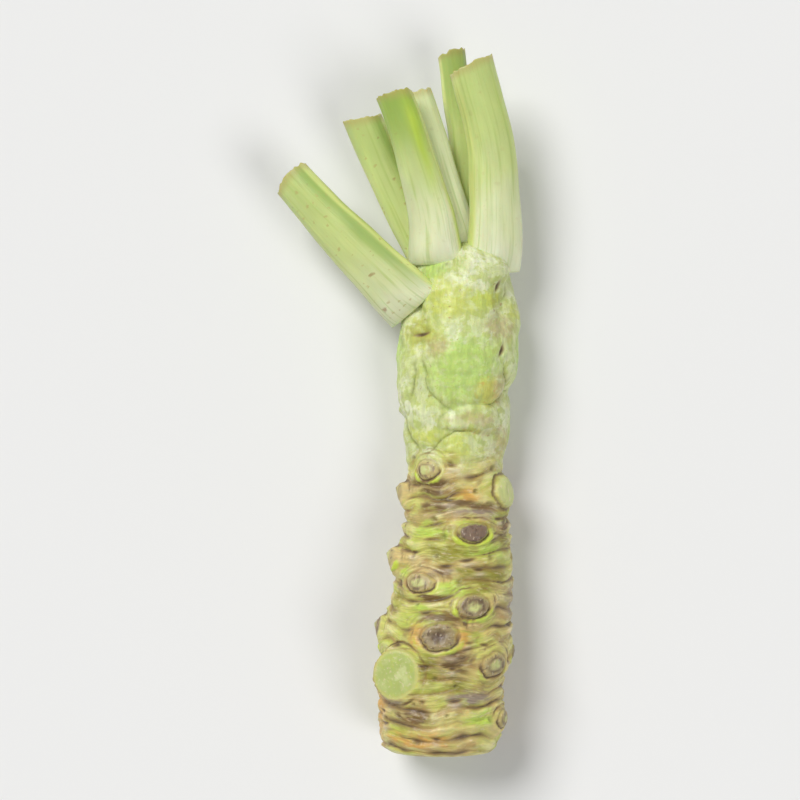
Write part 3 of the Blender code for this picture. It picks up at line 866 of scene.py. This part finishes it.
class Finish:
    """One node material, with a short call for each kind of node that it repeats."""

    def __init__(self, name, bleed, coat):
        """Bleed is how much light goes under the skin and how far; coat is its moist gloss and roughness."""
        self.material = bpy.data.materials.new(name)
        self.material.use_nodes = True
        self.grain = self.node("ShaderNodeAttribute", {}, attribute_name="grain").outputs["Vector"]
        self.set("Subsurface Weight", bleed[0])
        self.set("Subsurface Scale", bleed[1] * MM)
        self.set("Coat Weight", coat[0])
        self.set("Coat Roughness", coat[1])

    def set(self, socket, value):
        feed(self.material.node_tree.nodes["Principled BSDF"].inputs[socket], value)

    def node(self, kind, inputs, **settings):
        return add_node(self.material.node_tree, kind, inputs, **settings)

    def mark(self, name):
        return self.node("ShaderNodeAttribute", {}, attribute_name=name).outputs["Fac"]

    def math(self, operation, *values):
        return self.node("ShaderNodeMath", dict(enumerate(values)), operation=operation).outputs[0]

    def scaled(self, value, by, plus):
        return self.math("MULTIPLY_ADD", value, by, plus)

    def spread(self, value, low, high):
        """0 where the value is low or less, 1 where it is high or more, smooth between them."""
        inputs = {"Value": value, "From Min": low, "From Max": high}
        return self.node("ShaderNodeMapRange", inputs, interpolation_type="SMOOTHSTEP").outputs["Result"]

    def noise(self, size, detail=3.0, stretch=(1, 1, 1)):
        """Noise from 0 to 1 with features of about this size in millimetres."""
        spot = self.node("ShaderNodeVectorMath", {0: self.grain, 1: stretch}, operation="MULTIPLY")
        inputs = {"Vector": spot.outputs[0], "Scale": 1 / size, "Detail": detail}
        return self.node("ShaderNodeTexNoise", inputs).outputs["Fac"]

    def patchy(self, size, detail, low, high, stretch=(1, 1, 1)):
        """Noise spread between these two levels, so that it falls into patches."""
        return self.spread(self.noise(size, detail, stretch), low, high)

    def soft(self, name, stretch=(1, 1, 1)):
        """A mark that breaks up into fine mottling where it fades out."""
        mottling = self.scaled(self.patchy(1.1, 7, 0.34, 0.64, stretch), 0.6, 0.4)
        return self.spread(self.math("MULTIPLY", self.mark(name), mottling), 0.0, 0.7)

    def specks(self, spacing, size, share):
        """Small uneven spots, in this share of the cells of this spacing in millimetres."""
        wander = self.node("ShaderNodeTexNoise", {"Vector": self.grain, "Scale": 1 / size})
        inputs = {0: self.grain, 1: wander.outputs["Color"]}
        shifted = self.node("ShaderNodeVectorMath", inputs, operation="ADD")
        cells = self.node("ShaderNodeTexVoronoi", {"Vector": shifted.outputs[0], "Scale": 1 / spacing})
        draw = self.node("ShaderNodeSeparateColor", {0: cells.outputs["Color"]})
        radius = self.scaled(draw.outputs[1], 0.8 * size / spacing, 0.2 * size / spacing)
        spot = self.spread(cells.outputs["Distance"], radius, self.math("MULTIPLY", radius, 0.4))
        return self.math("MULTIPLY", spot, self.math("LESS_THAN", draw.outputs[0], share))

    def between(self, low, high, share):
        """The low value where the share is 0 and the high one where it is 1."""
        return self.node("ShaderNodeMix", dict(zip(MIX_NUMBERS, (share, low, high)))).outputs[0]

    def mixed(self, base, colour, share, blend):
        inputs = dict(zip(MIX_COLOURS, (share, base, colour)))
        return self.node("ShaderNodeMix", inputs, data_type="RGBA", blend_type=blend).outputs[2]

    def layered(self, colour, *layers):
        """Lays colours over the first one in turn, each with its share and any amounts to multiply it by."""
        for tone, share, *amounts in layers:
            for amount in amounts:
                share = self.math("MULTIPLY", share, amount)
            colour = self.mixed(colour, tone, share, "MIX")
        return colour

    def shade(self, base, factor):
        tone = self.node("ShaderNodeCombineColor", dict.fromkeys(range(3), factor))
        return self.mixed(base, tone.outputs[0], 1.0, "MULTIPLY")

    def finish(self, colour, roughness, height, distance):
        """Sets the colour, the roughness, and the fine relief with this depth in millimetres."""
        self.set("Base Color", colour)
        self.set("Roughness", roughness)
        bump = self.node("ShaderNodeBump", {"Height": height, "Distance": distance * MM})
        self.set("Normal", bump.outputs["Normal"])
        return self.material


def shown(red, green, blue):
    """A colour given as a screen shows it, from 0 to 255."""
    return tuple(((value / 255 + 0.055) / 1.055) ** 2.4 for value in (red, green, blue))


OLIVE = shown(202, 200, 104)
TAN = shown(210, 188, 120)
MOSS = shown(182, 196, 76)
# Painted highlight: paler where the fine relief stands high, on the crests of the ridges
CREST_HIGHLIGHT = shown(232, 226, 166)
RUSSET = shown(158, 118, 70)
MAUVE = shown(150, 132, 116)
OCHRE = shown(210, 164, 82)
UMBER = shown(110, 84, 46)
DEEP_OLIVE = shown(148, 144, 50)
LIME = shown(190, 212, 88)
SCURF = shown(226, 208, 180)
# Brown of the creases, moats, slits and pits: partly their own colour, partly painted shade
CREASE_TAN_AND_SHADE = shown(146, 118, 70)
CREASE_DARK_AND_SHADE = shown(84, 64, 46)
LIP_GREEN = shown(196, 212, 76)
BUD_TAN = shown(196, 180, 118)
BUD_BROWN = shown(128, 106, 88)
BUD_DARK = shown(92, 72, 58)
CORE_GREEN = shown(200, 206, 134)
STUB_GREEN = shown(174, 186, 106)
STUB_PALE = shown(200, 206, 142)
RIM_YELLOW = shown(206, 202, 124)
CROWN_PALE = shown(211, 219, 160)
CROWN_WHITE = shown(228, 232, 196)
CROWN_FRESH = shown(186, 213, 110)
CROWN_YELLOW = shown(202, 210, 92)
CROWN_BLUSH = shown(190, 170, 124)
# Yellow-green for random mottling on the crown and the stub, and painted shade in the crown's hollows
MOTTLE_GREEN_AND_HOLLOW_SHADE = shown(180, 194, 88)
# Painted shade: the dark line along the crown's folds
FOLD_SHADE = shown(112, 116, 48)
FOOT_PALE = shown(212, 218, 150)
FOOT_PITH = shown(226, 226, 180)
FOOT_DEEP = shown(186, 196, 104)
FOOT_RING = shown(142, 164, 70)
FOOT_RIM = shown(160, 134, 70)
STALK_PALE = shown(204, 216, 140)
STALK_WHITE = shown(230, 234, 194)
STALK_GREEN = shown(146, 178, 68)
# Painted shade: a deeper green along the right side of a stalk
STALK_FLANK_SHADE = shown(142, 172, 82)
STALK_STRIPE = shown(186, 210, 76)
# Painted highlight: pale lines along both edges of a stalk
STALK_EDGE_HIGHLIGHT = shown(216, 226, 140)
VEIN = shown(170, 192, 96)
RUST = shown(158, 116, 62)
FRECKLE = shown(188, 172, 100)
DRIED = shown(182, 166, 98)
CUT_PALE = shown(216, 222, 160)
VESSEL = shown(142, 160, 84)

ROUND = (0.35, 1, 0.35)  # stretches noise round the rhizome, as its rings run

# Colours laid over each skin by its marks; the crown's with the greatest amount of each
RING_WASHES = {"ochre": OCHRE, "mauve": MAUVE, "olive": DEEP_OLIVE, "lime": LIME, "umber": UMBER}
CROWN_WASHES = (
    ("fresh", CROWN_FRESH, 0.95),
    ("yellow", CROWN_YELLOW, 0.8),
    ("blush", CROWN_BLUSH, 0.6),
    ("ochre", OCHRE, 0.2),
    ("olive", DEEP_OLIVE, 0.5),
)
STALK_WASHES = {
    "white": STALK_WHITE,
    "green": STALK_GREEN,
    # Painted shade along the stalk's right side
    "flank": STALK_FLANK_SHADE,
    "stripe": STALK_STRIPE,
    # Painted highlight along the stalk's edges
    "edge": STALK_EDGE_HIGHLIGHT,
}


def ringed_skin(look):
    """The old skin below the crown: olive and tan ridges with a painted highlight on their crests, and small
    pale scales.
    """
    colour = look.layered(
        OLIVE,
        (TAN, look.patchy(6, 4, 0.42, 0.6, (0.5, 1, 0.5))),
        (MOSS, look.spread(look.mark("tint"), 0.45, 0.8), 0.7),
        # Painted highlight on the ridge crests, where the relief mark is high
        (CREST_HIGHLIGHT, look.spread(look.mark("relief"), 0.5, 0.95), 0.75),
        (RUSSET, look.patchy(2.4, 5, 0.5, 0.62, (0.4, 1, 0.4)), 0.55),
        *((tone, look.soft(mark, ROUND), 0.95) for mark, tone in RING_WASHES.items()),
        (SCURF, look.mark("scurf"), 0.6),
        (SCURF, look.patchy(0.6, 4, 0.58, 0.7, ROUND), 0.35),
    )
    streaks = look.patchy(0.5, 4, 0.32, 0.68, (0.2, 1, 0.2))
    return look.shade(colour, look.scaled(streaks, 0.24, 0.87))


def crown_skin(look):
    """The fresh leaf bases: pale green with fine fibres, patches of colour and a few brown specks."""
    colour = look.layered(
        CROWN_PALE,
        (CROWN_WHITE, look.patchy(4, 6, 0.42, 0.6)),
        (MOTTLE_GREEN_AND_HOLLOW_SHADE, look.patchy(2.0, 7, 0.46, 0.6), 0.7),
        # Painted shade in the hollows beside the crown's folds
        (MOTTLE_GREEN_AND_HOLLOW_SHADE, look.mark("hollow"), 0.5),
        *((tone, look.soft(mark), amount) for mark, tone, amount in CROWN_WASHES),
        # Painted shade along the folds
        (FOLD_SHADE, look.mark("fold"), 0.8),
    )
    fibres = look.math("ADD", look.noise(0.8, 6, (1, 0.22, 1)), look.noise(1.2, 7))
    return look.layered(
        look.shade(colour, look.scaled(look.spread(fibres, 0.75, 1.25), 0.22, 0.88)),
        (MOTTLE_GREEN_AND_HOLLOW_SHADE, look.patchy(0.6, 4, 0.56, 0.68), 0.5),
        (OCHRE, look.specks(1.0, 0.6, 0.6), look.mark("ochre"), 0.75),
        (RUST, look.specks(1.6, 0.5, 0.16), 0.6),
    )


def bud_skin(look):
    """The eyes: tan or brown and blotched, some with a green core or a dark heart."""
    core = look.mark("core")
    blots = look.math("MULTIPLY", look.patchy(0.7, 4, 0.52, 0.62), 0.6)
    return look.layered(
        BUD_TAN,
        (BUD_BROWN, look.mark("brown")),
        (CORE_GREEN, core),
        (BUD_DARK, look.between(blots, look.math("MULTIPLY", blots, 0.25), core)),
        (BUD_DARK, look.mark("heart")),
        (SCURF, look.patchy(0.45, 3, 0.6, 0.7), 0.5),
    )


def stub_cut(look, reach):
    """The flat cut of the side shoot: green and mottled, paler near its middle."""
    return look.layered(
        STUB_GREEN,
        (STUB_PALE, look.patchy(2.4, 5, 0.44, 0.6), look.spread(reach, 1.1, 0.3)),
        (MOTTLE_GREEN_AND_HOLLOW_SHADE, look.patchy(1.8, 4, 0.5, 0.65), 0.6),
        (SCURF, look.patchy(0.7, 4, 0.56, 0.66), 0.4),
    )


def foot_cut(look, reach):
    """The cut foot: paler pith, a green ring of vessels and a brown rim."""
    ring = look.math("SUBTRACT", look.spread(reach, 0.68, 0.77), look.spread(reach, 0.79, 0.86))
    return look.layered(
        FOOT_PALE,
        (FOOT_DEEP, look.patchy(1.4, 6, 0.44, 0.64), 0.5),
        (FOOT_PITH, look.spread(reach, 0.75, 0.3), 0.6),
        (FOOT_RING, ring, look.scaled(look.patchy(0.9, 3, 0.45, 0.6), 0.7, 0.3)),
        (FOOT_RIM, look.spread(reach, 0.9, 1.0)),
    )


def rhizome_finish():
    look = Finish("rhizome_skin", bleed=(0.1, 1.2), coat=(0.1, 0.3))
    crown = look.mark("crown")
    crease = look.mark("crease")
    reach = look.mark("reach")
    stub, foot = look.mark("stub"), look.mark("foot")
    colour = look.layered(
        ringed_skin(look),
        (crown_skin(look), crown),
        # Creases, eye moats and brows, slits and the ditch round the stub: partly their own brown, partly
        # painted shade
        (CREASE_TAN_AND_SHADE, look.spread(crease, 0.12, 0.6), 0.7),
        (CREASE_DARK_AND_SHADE, look.spread(crease, 0.42, 0.95), 0.85),
        # Painted shade in the dimples of the pits
        (CREASE_DARK_AND_SHADE, look.mark("pit"), 0.6),
        (bud_skin(look), look.mark("bud")),
        (LIP_GREEN, look.spread(look.mark("lip"), 0.1, 0.7)),
        (stub_cut(look, reach), stub),
        (RIM_YELLOW, look.mark("stub_rim"), 0.8),
        (foot_cut(look, reach), foot),
    )
    roughness = look.scaled(look.noise(1.5), 0.3, 0.3)
    ring_grain = look.noise(0.42, 5, (0.15, 1, 0.15))
    crown_grain = look.noise(0.5, 5, (1, 0.3, 1))
    grooves = look.between(ring_grain, crown_grain, crown)
    sawn = look.noise(0.6, 4, (0.25, 0.25, 1))
    height = look.between(grooves, sawn, look.math("MAXIMUM", stub, foot))
    return look.finish(colour, roughness, height, 0.2)


def stalk_finish():
    look = Finish("leaf_stalk", bleed=(0.18, 1.5), coat=(0.15, 0.25))
    fresh = look.layered(
        STALK_PALE,
        *((tone, look.mark(mark)) for mark, tone in STALK_WASHES.items()),
        (VEIN, look.patchy(0.7, 3, 0.5, 0.72, (1, 0.02, 1)), 0.5),
    )
    cut = look.layered(
        CUT_PALE,
        (VESSEL, look.mark("vessel")),
        (STALK_GREEN, look.spread(look.mark("reach"), 0.86, 1.0)),
    )
    colour = look.layered(
        look.shade(fresh, look.scaled(look.noise(3, 5, (1, 0.25, 1)), 0.36, 0.82)),
        (FRECKLE, look.specks(1.1, 0.5, 0.4), look.mark("rust"), 0.6),
        (RUST, look.specks(2.6, 0.85, 0.25), look.mark("rust"), 0.65),
        (DRIED, look.mark("dried"), 0.55),
        (cut, look.mark("cut")),
    )
    roughness = look.scaled(look.noise(2.0), 0.3, 0.25)
    return look.finish(colour, roughness, look.noise(0.4, 3, (1, 0.06, 1)), 0.12)


# ------------------------------------------------------------------ studio

VIEW_LENGTH = 172.0  # of the surface, from the lower to the upper edge of the picture
LENS = 100.0
SENSOR = 36.0
FLOOR_SIZE = 40.0
FLOOR_COLOUR = (0.82, 0.82, 0.81)
FLOOR_ROUGHNESS = 0.9
LIGHTS = {"key": ((-0.35, 0.4, 0.6), 2.35), "fill": ((0.4, -0.3, 0.6), 0.95)}  # where from, and how strong
SOFTNESS = 28.0  # degrees that each light spans as seen from the root
SKY_LOW = 0.78
SKY_HIGH = 0.22
SKY_FADE = 0.35  # the height, as a sine, where the sky has reached its dimmer level


def build_floor():
    bpy.ops.mesh.primitive_plane_add(size=FLOOR_SIZE)
    floor = bpy.context.object
    floor.name = "floor"
    finish = bpy.data.materials.new("floor")
    finish.use_nodes = True
    shader = finish.node_tree.nodes["Principled BSDF"]
    feed(shader.inputs["Base Color"], FLOOR_COLOUR)
    feed(shader.inputs["Roughness"], FLOOR_ROUGHNESS)
    floor.data.materials.append(finish)


def sunlight(name, place, strength):
    lamp = bpy.data.lights.new(name, "SUN")
    lamp.angle = math.radians(SOFTNESS)
    lamp.energy = strength
    thing = bpy.data.objects.new(name, lamp)
    thing.rotation_euler = (-Vector(place)).to_track_quat("-Z", "Y").to_euler()
    bpy.context.scene.collection.objects.link(thing)


def build_world():
    """A plain sky, about as bright as the floor where the two meet and dimmer overhead."""
    world = bpy.data.worlds.new("studio")
    world.use_nodes = True
    tree = world.node_tree
    ways = add_node(tree, "ShaderNodeTexCoord", {})
    split = add_node(tree, "ShaderNodeSeparateXYZ", {0: ways.outputs["Generated"]})
    levels = {"Value": split.outputs["Z"], "From Max": SKY_FADE, "To Min": SKY_LOW, "To Max": SKY_HIGH}
    fade = add_node(tree, "ShaderNodeMapRange", levels)
    feed(tree.nodes["Background"].inputs["Strength"], fade.outputs["Result"])
    feed(tree.nodes["Background"].inputs["Color"], (1, 1, 1))
    bpy.context.scene.world = world


def build_studio():
    build_floor()
    for name, (place, strength) in LIGHTS.items():
        sunlight(name, place, strength)
    build_world()
    bpy.context.scene.view_settings.view_transform = "Standard"


def build_camera():
    lens = bpy.data.cameras.new("camera")
    lens.lens, lens.sensor_width = LENS, SENSOR
    camera = bpy.data.objects.new("camera", lens)
    low, high = CAD_BOX
    middle = (low + high) / 2
    camera.location = (middle.x, middle.y, middle.z + VIEW_LENGTH * MM * LENS / SENSOR)
    bpy.context.scene.collection.objects.link(camera)
    bpy.context.scene.camera = camera


# ------------------------------------------------------------------ assembly

ON_FOOT = 1e-6  # metres within which a vertex counts as one of the cut foot's


def form_origin():
    """The forms' own zero in the frame, in millimetres, found from the cut foot of the CAD rhizome."""
    low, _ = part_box("rhizome")
    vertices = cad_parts["rhizome"].data.vertices
    foot = [vertex.co.x for vertex in vertices if vertex.co.y < low.y + ON_FOOT]
    middle = (min(foot) + max(foot)) / 2 / MM
    return np.array([middle - SECTIONS[0][2], low.y / MM, 0.0])


def settle(piece, node):
    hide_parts(node)
    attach(piece, "root")


def main():
    origin = form_origin()
    settle(rhizome_piece(origin, rhizome_finish()), "rhizome")
    finish = stalk_finish()
    for number, (node, form) in enumerate(STALKS.items()):
        settle(stalk_piece(node, form, number, origin, finish), node)
    build_studio()
    build_camera()


main()
